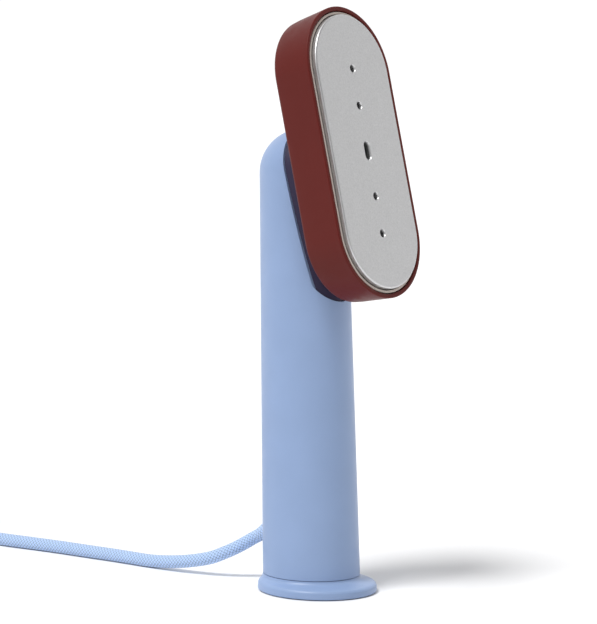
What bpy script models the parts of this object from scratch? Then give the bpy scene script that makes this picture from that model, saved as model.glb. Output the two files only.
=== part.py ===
"""A handheld garment steamer that stands on its foot, with the cord lying behind it.

Frame: metres, +Z up, the hot soleplate faces -Y, the cord leaves the back of the handle at +Y.
The origin is on the floor under the handle. The handle leans back by LEAN, and the head is
tilted back by TILT, so most pieces are modelled in one of two tilted frames:

  handle frame: origin on the handle's axis at the seam with the foot, +Z up along the axis
  head frame:   origin at the middle of the head's rim, +Z out of the soleplate, +Y up the head
"""

import math

import bmesh
import bpy
from mathutils import Matrix, Vector

MM = 0.001
GAP = 0.3 * MM                     # clearance between touching pieces
RIGHT = math.radians(90)

# Handle: a tapered tube with a domed top
SEAM_Z = 8.2 * MM                  # height of the seam between the foot and the handle
LEAN = math.radians(3.16)          # the handle's axis leans back
HANDLE_R0 = 24.0 * MM              # radius at the seam
HANDLE_R1 = 21.45 * MM             # radius where the dome starts
HANDLE_LENGTH = 197.5 * MM         # from the seam to the start of the dome
WALL = 2.2 * MM

# Head: a stadium-shaped cup that holds the soleplate
HEAD_CENTRE = Vector((0.0, -26.4, 216.9)) * MM
TILT = math.radians(14.7)          # the soleplate leans back from the vertical
HEAD_STRAIGHT = 39.6 * MM          # half the straight side, shared by every stadium in the head
HEAD_R = 32.25 * MM                # half the width at the rim
HEAD_R_BACK = 30.3 * MM            # half the width at the back
HEAD_DEPTH = 23.3 * MM
RIM = 2.2 * MM
PLATE_R = 27.9 * MM                # half the width of the soleplate's face
PLATE_PROUD = 1.9 * MM             # how far the face stands in front of the rim
SLOT_V = 0.0
HOLES_V = (-40.5 * MM, -22.3 * MM, 22.3 * MM, 40.5 * MM)

# Slanted seat in the handle that carries the head's neck
SEAT_DEPTH = 34.2 * MM             # behind the rim, parallel to the soleplate
SEAT_END_R = 17.0 * MM
SEAT_END_V = -51.0 * MM

# Foot
FOOT_Y = -3.85 * MM                # the foot reaches further to the front than to the back
PAD_R = 25.0 * MM

# Water tank, inside the handle on top of the foot
TANK_R = 19.4 * MM
TANK_FLAT_Y = 10.5 * MM            # flat back that leaves room for the wires
TANK_Z0 = 3.6 * MM
TANK_Z1 = 88.0 * MM
TANK_WALL = 1.6 * MM
TUBE_Y = -4.0 * MM                 # axis of the dip tube and of the pump

# Mains cord
CORD_D = 6.6 * MM
BOOT_EXIT = Vector((0.0, 24.8, 27.7)) * MM    # where the strain relief's axis leaves the wall
BOOT_DROP = math.radians(30)
BOOT_OUT = 10.8 * MM
BOOT_IN = 10.5 * MM
COIL_CENTRE = Vector((-15.3, 280.0, 0.0)) * MM
COIL_MID_R = 37.6 * MM
COIL_BASE = 1.7 * MM               # the coil lies on its tie
COIL_COLUMNS = 3
COIL_LAYERS = 3
# Hand-laid route from the strain relief to the coil, in millimetres
CORD_ROUTE = (
    (-0.6, 37.0, 20.6), (-2.4, 40.8, 17.9), (-5.0, 45.1, 15.0), (-7.5, 50.4, 12.1),
    (-9.9, 57.4, 9.0), (-12.0, 68.8, 6.2), (-13.6, 80.8, 4.4), (-14.7, 93.4, 3.4),
    (-15.3, 106.0, 3.35), (-16.0, 119.0, 3.35), (-17.4, 132.7, 3.35), (-19.1, 152.5, 3.35),
    (-21.2, 168.0, 3.35), (-23.8, 185.0, 3.35), (-25.2, 196.0, 3.35), (-31.3, 217.7, 3.4),
    (-41.8, 238.1, 4.2),
)
# The same from the coil's top turn into the plug, from the coil's centre
TAIL_ROUTE = (
    (15.5, 26.8, 18.2), (26.8, 15.5, 18.9), (31.0, 0.0, 20.8), (28.2, -14.2, 23.2),
    (20.2, -26.2, 25.8), (8.2, -34.2, 28.4), (-6.0, -37.0, 30.6), (-20.2, -34.2, 32.2),
    (-32.2, -26.2, 32.8), (-40.2, -14.2, 32.8), (-43.0, 0.0, 32.8), (-40.8, 11.1, 32.8),
    (-35.2, 19.8, 32.8), (-28.5, 25.1, 32.8), (-22.0, 27.9, 32.8), (-17.0, 28.8, 32.8),
    (-14.0, 29.0, 32.8),
)

# Buttons on the back of the handle
POWER_Z = 122.0 * MM
POWER_R = 4.5 * MM
STEAM_Z = 156.0 * MM
STEAM_R = 5.6 * MM
STEAM_STRAIGHT = 5.5 * MM
LIGHT_Z = 135.0 * MM

SEGMENTS = 40
HALF_SEGMENTS = 12


# ---------------------------------------------------------------- scene helpers

def clear_scene():
    for old in list(bpy.data.objects):
        bpy.data.objects.remove(old, do_unlink=True)


def new_collection(name):
    made = bpy.data.collections.new(name)
    bpy.context.scene.collection.children.link(made)
    return made


def new_material(name, colour, roughness, metallic=0.0):
    made = bpy.data.materials.new(name)
    made.use_nodes = True
    shader = made.node_tree.nodes["Principled BSDF"]
    shader.inputs["Base Color"].default_value = (*colour, 1.0)
    shader.inputs["Roughness"].default_value = roughness
    shader.inputs["Metallic"].default_value = metallic
    return made


def new_empty(name, location, rotation=(0.0, 0.0, 0.0)):
    empty = bpy.data.objects.new(name, None)
    empty.location = location
    empty.rotation_euler = rotation
    empty.empty_display_size = 0.01
    parts.objects.link(empty)
    return empty


def place(obj, look, parent=None, location=(0.0, 0.0, 0.0), rotation=(0.0, 0.0, 0.0)):
    """Put an object in the scene. A look of None makes it a cutter."""
    obj.location = location
    obj.rotation_euler = rotation
    obj.parent = parent
    if look is None:
        obj.hide_render = True
        obj.display_type = "WIRE"
        cutters.objects.link(obj)
    else:
        obj.data.materials.append(look)
        parts.objects.link(obj)
    return obj


def from_bmesh(name, bm, look, **where):
    mesh = bpy.data.meshes.new(name)
    bm.to_mesh(mesh)
    bm.free()
    if look is not None:
        mesh.shade_smooth()
        mesh.set_sharp_from_angle(angle=math.radians(35))
    return place(bpy.data.objects.new(name, mesh), look, **where)


def boolean(obj, tool, operation="DIFFERENCE"):
    modifier = obj.modifiers.new(f"{operation.lower()}_{tool.name}"[:60], "BOOLEAN")
    modifier.operation = operation
    modifier.object = tool
    return obj


# ---------------------------------------------------------------- shape helpers

def turned(name, profile, look, steps=SEGMENTS, ring=False, **where):
    """A turned solid. The profile of (radius, height) pairs runs down its outer side."""
    bm = bmesh.new()
    verts = [bm.verts.new((r, 0.0, z)) for r, z in profile]
    for a, b in zip(verts, verts[1:]):
        bm.edges.new((a, b))
    if ring:
        bm.edges.new((verts[-1], verts[0]))
    mesh = bpy.data.meshes.new(name)
    bm.to_mesh(mesh)
    bm.free()
    obj = place(bpy.data.objects.new(name, mesh), look, **where)
    screw = obj.modifiers.new("turn", "SCREW")
    screw.steps = screw.render_steps = steps
    screw.use_merge_vertices = True
    screw.merge_threshold = 0.00001
    screw.use_smooth_shade = True
    return obj


def racetrack(name, profile, straight, look, steps=HALF_SEGMENTS, ring=False, **where):
    """A profile of (radius, height) pairs swept round a stadium with straight sides along Y.

    A profile that starts and ends at radius 0 makes a solid with flat ends.
    """
    bm = bmesh.new()
    verts = [bm.verts.new((r, -straight, z)) for r, z in profile if r > 0]
    edges = [bm.edges.new(pair) for pair in zip(verts, verts[1:])]
    if ring:
        edges.append(bm.edges.new((verts[-1], verts[0])))
    for side in (1.0, -1.0):
        grown = bmesh.ops.extrude_edge_only(bm, edges=edges)["geom"]
        moved = [g for g in grown if isinstance(g, bmesh.types.BMVert)]
        edges = [g for g in grown if isinstance(g, bmesh.types.BMEdge)]
        bmesh.ops.translate(bm, verts=moved, vec=(0.0, 2.0 * side * straight, 0.0))
        swept = bmesh.ops.spin(bm, geom=moved + edges, cent=(0.0, side * straight, 0.0),
                               axis=(0.0, 0.0, 1.0), angle=math.pi, steps=steps)["geom_last"]
        edges = [g for g in swept if isinstance(g, bmesh.types.BMEdge)]
    bmesh.ops.remove_doubles(bm, verts=bm.verts, dist=0.000002)
    bmesh.ops.holes_fill(bm, edges=[e for e in bm.edges if e.is_boundary], sides=0)
    bmesh.ops.recalc_face_normals(bm, faces=bm.faces)
    return from_bmesh(name, bm, look, **where)


def prism(name, outline, z0, z1, look, **where):
    """A flat outline of (x, y) pairs, extruded from z0 to z1."""
    bm = bmesh.new()
    face = bm.faces.new([bm.verts.new((x, y, z0)) for x, y in outline])
    top = bmesh.ops.extrude_face_region(bm, geom=[face])["geom"]
    moved = [g for g in top if isinstance(g, bmesh.types.BMVert)]
    bmesh.ops.translate(bm, verts=moved, vec=(0.0, 0.0, z1 - z0))
    bmesh.ops.recalc_face_normals(bm, faces=bm.faces)
    return from_bmesh(name, bm, look, **where)


def block(name, size, look, bevel=0.0, **where):
    bm = bmesh.new()
    bmesh.ops.create_cube(bm, size=1.0)
    bmesh.ops.scale(bm, vec=size, verts=bm.verts)
    obj = from_bmesh(name, bm, look, **where)
    if bevel:
        rounded = obj.modifiers.new("edges", "BEVEL")
        rounded.width = bevel
        rounded.segments = 2
    return obj


def rod(name, radius, z0, z1, look, steps=20, **where):
    profile = [(0.0, z1), (radius, z1), (radius, z0), (0.0, z0)]
    return turned(name, profile, look, steps=steps, **where)


def smooth_path(points, spacing):
    """Evenly spaced points along a smooth (Catmull-Rom) curve through the given ones."""
    ends = [2 * points[0] - points[1], *points, 2 * points[-1] - points[-2]]
    fine = []
    for a, b, c, d in zip(ends, ends[1:], ends[2:], ends[3:]):
        for k in range(24):
            t = k / 24
            fine.append(0.5 * (2 * b + (c - a) * t + (2 * a - 5 * b + 4 * c - d) * t ** 2
                               + (3 * b - a - 3 * c + d) * t ** 3))
    fine.append(points[-1])
    return evenly(fine, spacing)


def evenly(line, spacing):
    """The same line with its points a fixed distance apart, both ends kept."""
    total = sum((b - a).length for a, b in zip(line, line[1:]))
    count = max(2, round(total / spacing))
    step, out, walked = total / count, [line[0]], 0.0
    for a, b in zip(line, line[1:]):
        length = (b - a).length
        while len(out) < count and walked + length >= step * len(out):
            out.append(a.lerp(b, (step * len(out) - walked) / length))
        walked += length
    return [*out, line[-1]]


def tube(name, points, radius, look, resolution=2):
    """A round tube along points in world space."""
    curve = bpy.data.curves.new(name, "CURVE")
    curve.dimensions = "3D"
    curve.bevel_depth = radius
    curve.bevel_resolution = resolution
    curve.use_fill_caps = True
    spline = curve.splines.new("POLY")
    spline.points.add(len(points) - 1)
    for knot, point in zip(spline.points, points):
        knot.co = (*point, 1.0)
    return place(bpy.data.objects.new(name, curve), look)


def tube_mesh(name, points, radius, look, resolution=2):
    """The same tube as a closed mesh, for one that is cut or that cuts."""
    guide = tube(f"{name}_guide", points, radius, None, resolution)
    evaluated = guide.evaluated_get(bpy.context.evaluated_depsgraph_get())
    mesh = bpy.data.meshes.new_from_object(evaluated)
    bpy.data.objects.remove(guide)
    bm = bmesh.new()
    bm.from_mesh(mesh)
    bmesh.ops.remove_doubles(bm, verts=bm.verts, dist=0.00001)
    bmesh.ops.recalc_face_normals(bm, faces=bm.faces)
    return from_bmesh(name, bm, look)


# ---------------------------------------------------------------- frames

HANDLE_MATRIX = Matrix.Translation((0.0, 0.0, SEAM_Z)) @ Matrix.Rotation(-LEAN, 4, "X")
HEAD_MATRIX = Matrix.Translation(HEAD_CENTRE) @ Matrix.Rotation(RIGHT - TILT, 4, "X")


def in_handle(x, y, z):
    """World point of a point of the handle frame, given in millimetres."""
    return HANDLE_MATRIX @ (Vector((x, y, z)) * MM)


def in_head(u, v, depth):
    """World point of a point of the head frame, in millimetres, depth behind the rim."""
    return HEAD_MATRIX @ (Vector((u, v, -depth)) * MM)


def handle_radius(z):
    return HANDLE_R0 + (HANDLE_R1 - HANDLE_R0) * z / HANDLE_LENGTH


def domed_profile(inset, bottom, solid):
    """Outline of the handle moved in by inset, from the top of the dome down."""
    dome = [(math.sin(a) * (HANDLE_R1 - inset), HANDLE_LENGTH + math.cos(a) * (HANDLE_R1 - inset))
            for a in (math.radians(15 * k) for k in range(7))]
    low = [(handle_radius(bottom) - inset, bottom)]
    return dome + low + ([(0.0, bottom)] if solid else [])


def seat_outline(shrink):
    """The slanted seat's outline across the head frame: a round lower end, open sides."""
    end_r, wide = SEAT_END_R - shrink, 30 * MM
    arc = [(end_r * math.cos(a), SEAT_END_V + end_r * math.sin(a))
           for a in (math.radians(180 + 12 * k) for k in range(16))]
    return arc + [(wide, SEAT_END_V + 16 * MM), (wide, 50 * MM),
                  (-wide, 50 * MM), (-wide, SEAT_END_V + 16 * MM)]


# ---------------------------------------------------------------- handle

def make_body_shell():
    shell = turned("body_shell", domed_profile(0.0, -4 * MM, False), LIGHT_BLUE, parent=handle)
    solid = shell.modifiers.new("wall", "SOLIDIFY")
    solid.thickness = WALL
    solid.offset = -1.0
    below = block("below_seam", (0.12, 0.12, 0.04), None, location=(0, 0, SEAM_Z - 0.02))
    boolean(shell, below)
    boolean(shell, prism("seat_cutter", seat_outline(0.0), -SEAT_DEPTH, 30 * MM, None, parent=head))
    boolean(shell, boot_collar(), "UNION")
    boolean(shell, boot_bore())
    boolean(shell, rod("power_hole", POWER_R + GAP, 0, 12 * MM, None, parent=handle,
                       location=(0, 14 * MM, POWER_Z), rotation=(-RIGHT, 0, 0)))
    boolean(shell, rod("light_hole", 1.8 * MM, 0, 12 * MM, None, parent=handle,
                       location=(0, 14 * MM, LIGHT_Z), rotation=(-RIGHT, 0, 0)))
    hole = [(0, 12 * MM), (STEAM_R + GAP, 12 * MM), (STEAM_R + GAP, 0), (0, 0)]
    boolean(shell, racetrack("steam_hole", hole, STEAM_STRAIGHT, None, parent=handle,
                             location=(0, 14 * MM, STEAM_Z), rotation=(-RIGHT, 0, 0)))


def neck_body(name, inset, top, bottom, shrink, look):
    """The part of the handle's form, moved in by inset, between two depths behind the rim."""
    form = turned(name, domed_profile(inset, 90 * MM, True), look, parent=handle)
    slab = prism(f"{name}_slab", seat_outline(shrink), -bottom, -top, None, parent=head)
    return boolean(form, slab, "INTERSECT")


def make_neck():
    """The dark piece between head and handle: a cover, and a skirt that plugs into the handle."""
    neck = neck_body("neck", 0.8 * MM, HEAD_DEPTH + GAP, SEAT_DEPTH - GAP, 0.4 * MM, DARK_BLUE)
    skirt = neck_body("neck_skirt", WALL + GAP, SEAT_DEPTH - 1.0 * MM, SEAT_DEPTH + 4.0 * MM,
                      WALL + 0.4 * MM, None)
    boolean(neck, skirt, "UNION")
    hollow = neck_body("neck_hollow", 4.6 * MM, HEAD_DEPTH + 2.8 * MM, SEAT_DEPTH + 8.0 * MM,
                       4.8 * MM, None)
    boolean(neck, hollow)
    boolean(neck, cable_slot("neck_cable_slot", 40 * MM))
    for v in NECK_SCREWS_V:
        boolean(neck, rod(f"neck_screw_hole_{round(v / MM)}", 1.8 * MM, -40 * MM, 0, None,
                          parent=head, location=(0, v, 0)))


def cable_slot(name, depth):
    """Cutter of the opening for hose and wires from the head to the handle."""
    profile = [(0, -16 * MM), (7 * MM, -16 * MM), (7 * MM, -depth), (0, -depth)]
    return racetrack(name, profile, 10 * MM, None, parent=head, location=(0, -12 * MM, 0))


def make_buttons():
    power = [(0, 22.9), (3.6, 22.9), (4.5, 22.2), (4.5, 18.9), (5.9, 18.9), (5.9, 17.4),
             (1.8, 17.4), (1.8, 15.8), (0, 15.8)]
    turned("power_button", [(r * MM, (y - 14) * MM) for r, y in power], LIGHT_BLUE, steps=24,
           parent=handle, location=(0, 14 * MM, POWER_Z), rotation=(-RIGHT, 0, 0))
    steam = [(0, 22.7), (4.7, 22.7), (5.6, 21.9), (5.6, 17.9), (6.8, 17.9), (6.8, 16.7),
             (1.8, 16.7), (1.8, 15.8), (0, 15.8)]
    racetrack("steam_button", [(r * MM, (y - 14) * MM) for r, y in steam], STEAM_STRAIGHT,
              DARK_BLUE, parent=handle, location=(0, 14 * MM, STEAM_Z), rotation=(-RIGHT, 0, 0))
    rod("light_pipe", 1.5 * MM, 0.4 * MM, 8.3 * MM, CLEAR, parent=handle,
        location=(0, 14 * MM, LIGHT_Z), rotation=(-RIGHT, 0, 0))


def make_chassis():
    """Bulkhead above the tank, with an upright spine for the pump and the circuit board."""
    chassis = rod("chassis", 19.9 * MM, 105 * MM, 108 * MM, GREY_PLASTIC, steps=32,
                  parent=handle)
    boolean(chassis, block("spine", (28 * MM, 2 * MM, 79 * MM), None, parent=handle,
                           location=(0, 7.5 * MM, 146.5 * MM)), "UNION")
    for side in (-1, 1):
        for z in (121, 183):
            boolean(chassis, rod(f"standoff_{side}_{z}", 2 * MM, -1.5 * MM, 1.4 * MM, None,
                                 steps=12, parent=handle, rotation=(-RIGHT, 0, 0),
                                 location=(side * 9 * MM, 8.5 * MM, z * MM)), "UNION")
    boolean(chassis, rod("tube_hole", 2.6 * MM, 90 * MM, 112 * MM, None, parent=handle,
                         location=(0, TUBE_Y, 0)))
    boolean(chassis, block("wire_notch", (22 * MM, 12 * MM, 10 * MM), None, parent=handle,
                           location=(0, 18.4 * MM, 106 * MM)))


def make_pump():
    pump = [(0, 142), (2.2, 142), (2.2, 136), (5, 136), (5, 134), (8.4, 134), (8.4, 115),
            (5, 115), (5, 113), (2.2, 113), (2.2, 110), (0, 110)]
    turned("pump_body", [(r * MM, z * MM) for r, z in pump], GREY_PLASTIC, steps=24,
           parent=handle, location=(0, TUBE_Y, 0))
    yoke = block("pump_yoke", (19 * MM, 18.6 * MM, 15 * MM), STEEL, bevel=1 * MM, parent=handle,
                 location=(0, TUBE_Y, 124.5 * MM))
    boolean(yoke, rod("yoke_bore", 8.7 * MM, 110 * MM, 140 * MM, None, steps=32, parent=handle,
                      location=(0, TUBE_Y, 0)))


def make_board():
    block("circuit_board", (24 * MM, 1.6 * MM, 68 * MM), BOARD_GREEN, parent=handle,
          location=(0, 11.0 * MM, 152 * MM))
    for name, z in (("power_switch", POWER_Z), ("steam_switch", STEAM_Z)):
        block(name, (6 * MM, 2.0 * MM, 6 * MM), BLACK, bevel=0.4 * MM, parent=handle,
              location=(0, 13.1 * MM, z))
    block("triac", (10 * MM, 3.0 * MM, 12 * MM), BLACK, bevel=0.4 * MM, parent=handle,
          location=(0, 13.6 * MM, 176 * MM))


def make_dip_tube():
    """The pump's tube down to the bottom of the tank; it slides through the lid's grommet."""
    rod("dip_tube", 2.25 * MM, 12 * MM, 109.7 * MM, CLEAR, steps=16, parent=handle,
        location=(0, TUBE_Y, 0))
    strainer = [(0, 11.7), (2.25, 11.7), (2.25, 7.0), (1.6, 6.4), (0, 6.4)]
    turned("inlet_strainer", [(r * MM, z * MM) for r, z in strainer], WHITE_PLASTIC, steps=16,
           parent=handle, location=(0, TUBE_Y, 0))


# ---------------------------------------------------------------- tank and foot

def tank_outline(inset):
    """D-shaped outline: a round front and a flat back."""
    radius, flat = TANK_R - inset, TANK_FLAT_Y - inset
    start = math.asin(flat / radius)
    sweep = math.pi + 2 * start
    return [(radius * math.cos(start - sweep * k / 28), radius * math.sin(start - sweep * k / 28))
            for k in range(29)]


def make_tank():
    tank = prism("tank", tank_outline(0.0), TANK_Z0, TANK_Z1, CLEAR, parent=tank_axis)
    boolean(tank, prism("tank_inside", tank_outline(TANK_WALL), TANK_Z0 + TANK_WALL,
                        TANK_Z1 + 5 * MM, None, parent=tank_axis))


def make_tank_lid():
    lid = prism("tank_lid", tank_outline(0.0), TANK_Z1 + GAP, TANK_Z1 + 2.3 * MM, DARK_BLUE,
                parent=lid_axis)
    boolean(lid, prism("lid_skirt", tank_outline(TANK_WALL + GAP), TANK_Z1 - 4 * MM,
                       TANK_Z1 + 1.0 * MM, None, parent=lid_axis), "UNION")
    boolean(lid, rod("grommet_hole", 4.3 * MM, 60 * MM, 110 * MM, None, parent=lid_axis,
                     location=(0, TUBE_Y, 0)))
    profile = [(5.6, 92.2), (5.6, 90.6), (4.0, 90.6), (4.0, 83.6), (2.6, 83.6), (2.6, 92.2)]
    turned("tube_grommet", [(r * MM, z * MM) for r, z in profile], SILICONE, steps=24, ring=True,
           parent=lid_axis, location=(0, TUBE_Y, 0))


def make_foot():
    """A shallow cone of revolution whose axis moves forward as it widens towards the floor."""
    rings = ((24.0, 0.0, 7.9), (24.25, -0.15, 7.0), (25.0, -0.8, 6.1), (26.6, -2.1, 5.4),
             (28.3, -3.35, 4.75), (29.1, -3.8, 3.9), (29.3, -3.85, 3.1), (29.3, -3.85, 0.45))
    bm = bmesh.new()
    loops = []
    for radius, y, z in rings:
        where = Matrix.Translation((0.0, y * MM, z * MM))
        made = bmesh.ops.create_circle(bm, segments=SEGMENTS, radius=radius * MM, matrix=where)
        loops.append(made["verts"])
    for upper, lower in zip(loops, loops[1:]):
        around = [e for v in (*upper, *lower) for e in v.link_edges]
        bmesh.ops.bridge_loops(bm, edges=list(set(around) & loop_edges(upper, lower)))
    for loop in (loops[0], loops[-1]):
        bm.faces.new(loop)
    bmesh.ops.recalc_face_normals(bm, faces=bm.faces)
    foot = from_bmesh("foot", bm, LIGHT_BLUE, parent=tank_floor)
    boss = [(0, 3.2), (20.6, 3.2), (20.6, 2.6), (19.7, 2.6), (19.7, 1.0), (20.6, 1.0),
            (20.6, -3.0), (0, -3.0)]
    boolean(foot, turned("foot_boss", [(r * MM, z * MM) for r, z in boss], None,
                         parent=tank_axis), "UNION")
    boolean(foot, rod("pad_recess", PAD_R + GAP, -5 * MM, 1.4 * MM, None, steps=SEGMENTS,
                      location=(0, FOOT_Y, 0)))
    turned("foot_pad", [(0, 1.1 * MM), (PAD_R, 1.1 * MM), (PAD_R, 0.4 * MM),
                        (PAD_R - 0.4 * MM, 0), (0, 0)], RUBBER, parent=tank_floor,
           location=(0, FOOT_Y, 0))
    seal = [(21.3, 2.1), (21.3, 1.5), (21.0, 1.2), (20.0, 1.2), (20.0, 2.4), (21.0, 2.4)]
    turned("foot_seal", [(r * MM, z * MM) for r, z in seal], SILICONE, steps=24, ring=True,
           parent=tank_axis)


def loop_edges(*loops):
    """Edges that join neighbours within one of the given loops of vertices."""
    return {e for loop in loops for v in loop for e in v.link_edges
            if e.verts[0] in loop and e.verts[1] in loop}


# ---------------------------------------------------------------- head

NECK_SCREWS_V = (-32 * MM, 8 * MM)
COVER_SCREWS_V = (-31.4 * MM, 31.4 * MM)
SPIGOT_V = -20.0 * MM


def shell_inner(depth):
    """Half the width inside the head's shell, at a depth behind the rim."""
    return HEAD_R - RIM - (HEAD_R - HEAD_R_BACK) * depth / HEAD_DEPTH


def make_head_shell():
    floor = HEAD_DEPTH - 2.5 * MM
    edge = 2.6 * MM
    corner = [(HEAD_R_BACK - edge + edge * math.cos(a), -HEAD_DEPTH + edge - edge * math.sin(a))
              for a in (math.radians(90 * k / 5) for k in range(6))]
    profile = [(0, -floor), (shell_inner(floor), -floor), (shell_inner(0), -0.5 * MM),
               (shell_inner(0) + 0.4 * MM, 0), (HEAD_R - 0.5 * MM, 0), (HEAD_R, -0.6 * MM),
               *corner, (0, -HEAD_DEPTH)]
    shell = racetrack("head_shell", profile, HEAD_STRAIGHT, BURGUNDY, parent=head)
    boolean(shell, cable_slot("head_cable_slot", 30 * MM))
    for v in NECK_SCREWS_V:
        boolean(shell, rod(f"shell_screw_hole_{round(v / MM)}", 1.8 * MM, -40 * MM, -10 * MM,
                           None, parent=head, location=(0, v, 0)))
        turned(f"neck_screw_{NECK_SCREWS_V.index(v) + 1}",
               [(r * MM, z * MM) for r, z in ((0, -18.4), (2.8, -18.4), (2.8, -20.5),
                                              (1.4, -20.5), (1.4, -31), (0, -31))],
               STEEL, steps=20, parent=head, location=(0, v, 0))


def make_seal_ring():
    profile = [(29.6, -0.7), (29.6, -3.6), (28.3, -3.6), (28.3, -0.7), (28.6, -0.4), (29.3, -0.4)]
    racetrack("seal_ring", [(r * MM, z * MM) for r, z in profile], HEAD_STRAIGHT, BEIGE,
              ring=True, parent=head)


def make_insulating_frame():
    profile = [(27.8, -3.0), (27.8, -3.9), (29.3, -3.9), (27.9, -20.5), (26.0, -20.5),
               (26.0, -3.0)]
    racetrack("insulating_frame", [(r * MM, z * MM) for r, z in profile], HEAD_STRAIGHT, BLACK,
              ring=True, parent=head)


def element_path():
    """Centre line of the U-shaped heating element, terminals at the upper end."""
    side, turn = 19.0, 34.0
    arc = [(side * math.cos(a), -turn + side * math.sin(a), 10.5)
           for a in (math.radians(180 + 15 * k) for k in range(13))]
    left = [(-side, 36, 17.5), (-side, 35.5, 14.0), (-side, 33, 11.5), (-side, 29, 10.5),
            (-side, 0, 10.5)]
    right = [(side, v, d) for _, v, d in reversed(left)]
    return [in_head(*p) for p in (*left, *arc, *right)]


def make_soleplate():
    """Cast plate with steam holes in its face and the steam chamber in its back."""
    face = PLATE_PROUD
    profile = [(0, face), (PLATE_R - 1.1 * MM, face), (PLATE_R - 0.3 * MM, face - 0.35 * MM),
               (PLATE_R, face - 1.1 * MM), (PLATE_R, -2.7 * MM), (25.4 * MM, -2.7 * MM),
               (25.4 * MM, -10.5 * MM), (0, -10.5 * MM)]
    plate = racetrack("soleplate", profile, HEAD_STRAIGHT, ALUMINIUM, parent=head)
    chamber = [(0, -2.8 * MM), (12 * MM, -2.8 * MM), (12 * MM, -15 * MM), (0, -15 * MM)]
    boolean(plate, racetrack("chamber", chamber, 34 * MM, None, parent=head))
    for v in COVER_SCREWS_V:
        boolean(plate, rod(f"screw_post_{round(v / MM)}", 3.2 * MM, -10.5 * MM, -2 * MM, None,
                           steps=16, parent=head, location=(0, v, 0)), "UNION")
        boolean(plate, rod(f"post_bore_{round(v / MM)}", 1.5 * MM, -12 * MM, -4 * MM, None,
                           steps=12, parent=head, location=(0, v, 0)))
    boolean(plate, tube_mesh("element_groove", element_path(), 3.6 * MM, None))
    sink = [(0, face + 1 * MM), (3.0 * MM, face + 1 * MM), (1.65 * MM, face - 0.9 * MM),
            (1.65 * MM, -5 * MM), (0, -5 * MM)]
    for number, v in enumerate(HOLES_V, 1):
        boolean(plate, turned(f"steam_hole_{number}", sink, None, steps=16, parent=head,
                              location=(0, v, 0)))
    slot = [(r + 0.35 * MM if r else 0, z) for r, z in sink]
    boolean(plate, racetrack("steam_slot", slot, 2.3 * MM, None, steps=8, parent=head,
                             location=(0, SLOT_V, 0)))


def make_heater():
    tube("heating_element", element_path(), 3.2 * MM, STEEL)
    cover = racetrack("chamber_cover", [(0, -10.8 * MM), (14.4 * MM, -10.8 * MM),
                                        (14.4 * MM, -12.3 * MM), (0, -12.3 * MM)],
                      34 * MM, STEEL, parent=head)
    boolean(cover, rod("spigot", 2.4 * MM, -16.8 * MM, -11.5 * MM, None, steps=16, parent=head,
                       location=(0, SPIGOT_V, 0)), "UNION")
    boolean(cover, rod("spigot_bore", 1.2 * MM, -20 * MM, -8 * MM, None, steps=12, parent=head,
                       location=(0, SPIGOT_V, 0)))
    screw = [(0, -7 * MM), (1.2 * MM, -7 * MM), (1.2 * MM, -12.6 * MM), (2.6 * MM, -12.6 * MM),
             (2.6 * MM, -14.2 * MM), (0, -14.2 * MM)]
    for number, v in enumerate(COVER_SCREWS_V, 1):
        boolean(cover, rod(f"cover_hole_{number}", 1.5 * MM, -13 * MM, -10 * MM, None, steps=12,
                           parent=head, location=(0, v, 0)))
        turned(f"cover_screw_{number}", screw, STEEL, steps=16, parent=head, location=(0, v, 0))


def make_thermal_parts():
    thermostat = [(0, -12.6), (7.8, -12.6), (7.8, -13.6), (6.6, -13.6), (6.6, -18.4), (0, -18.4)]
    turned("thermostat", [(r * MM, z * MM) for r, z in thermostat], WHITE_PLASTIC, steps=24,
           parent=head, location=(0, 20 * MM, 0))
    rod("thermal_fuse", 2 * MM, -6 * MM, 6 * MM, WHITE_PLASTIC, steps=16, parent=head,
        location=(0, -46 * MM, -14.8 * MM), rotation=(0, RIGHT, 0))


def make_hose():
    route = [in_head(0, -20, 17.1), in_head(0, -20, 22), in_head(0, -20.8, 28),
             in_head(0, -24, 34), in_handle(0, -6, 166), in_handle(0, -4.4, 155),
             in_handle(0, -4, 148), in_handle(0, -4, 142.3)]
    tube("delivery_hose", smooth_path(route, 3.5 * MM), 2.9 * MM, SILICONE)


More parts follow.
